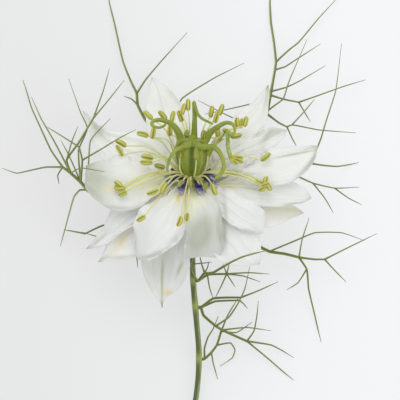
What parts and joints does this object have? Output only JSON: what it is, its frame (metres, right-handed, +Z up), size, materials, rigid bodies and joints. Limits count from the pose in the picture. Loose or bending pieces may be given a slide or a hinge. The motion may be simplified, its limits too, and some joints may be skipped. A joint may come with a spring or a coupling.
{
  "type": "nigella flower with young seed pod",
  "caption": "Cut white nigella flower with its young horned seed pod, stamens, thread-like bracts and a leafy stem, lying on a surface.",
  "frame": {"origin": "middle of the box's base, on the surface that the flower lies on", "axes": "+Z up from the surface, +Y from the cut end of the stem towards the flower, +X to the right seen from above"},
  "size_m": [0.076, 0.0962, 0.0263],
  "materials": {
    "stem": "fresh green stem, faintly ribbed and satin",
    "frond": "fine green threads, satin",
    "sepal": "thin white petal with faint green veins, matte and translucent",
    "pod": "young green pod, satin",
    "stamen": "yellow-green anthers on pale filaments, powdery",
    "nectary": "dark violet, glossy at the lips"
  },
  "bodies": {
    "root": {"stem": "stem", "bract_upper_left": "frond", "bract_upper_right": "frond", "bract_left": "frond", "bract_lower_left": "frond", "bract_right": "frond", "bract_lower_right": "frond", "leaf_upper": "frond", "leaf_middle": "frond", "leaf_lower": "frond", "young_seed_pod": "pod", "sepals": "sepal", "nectaries": "nectary", "stamens": "stamen"}
  },
  "joints": []
}
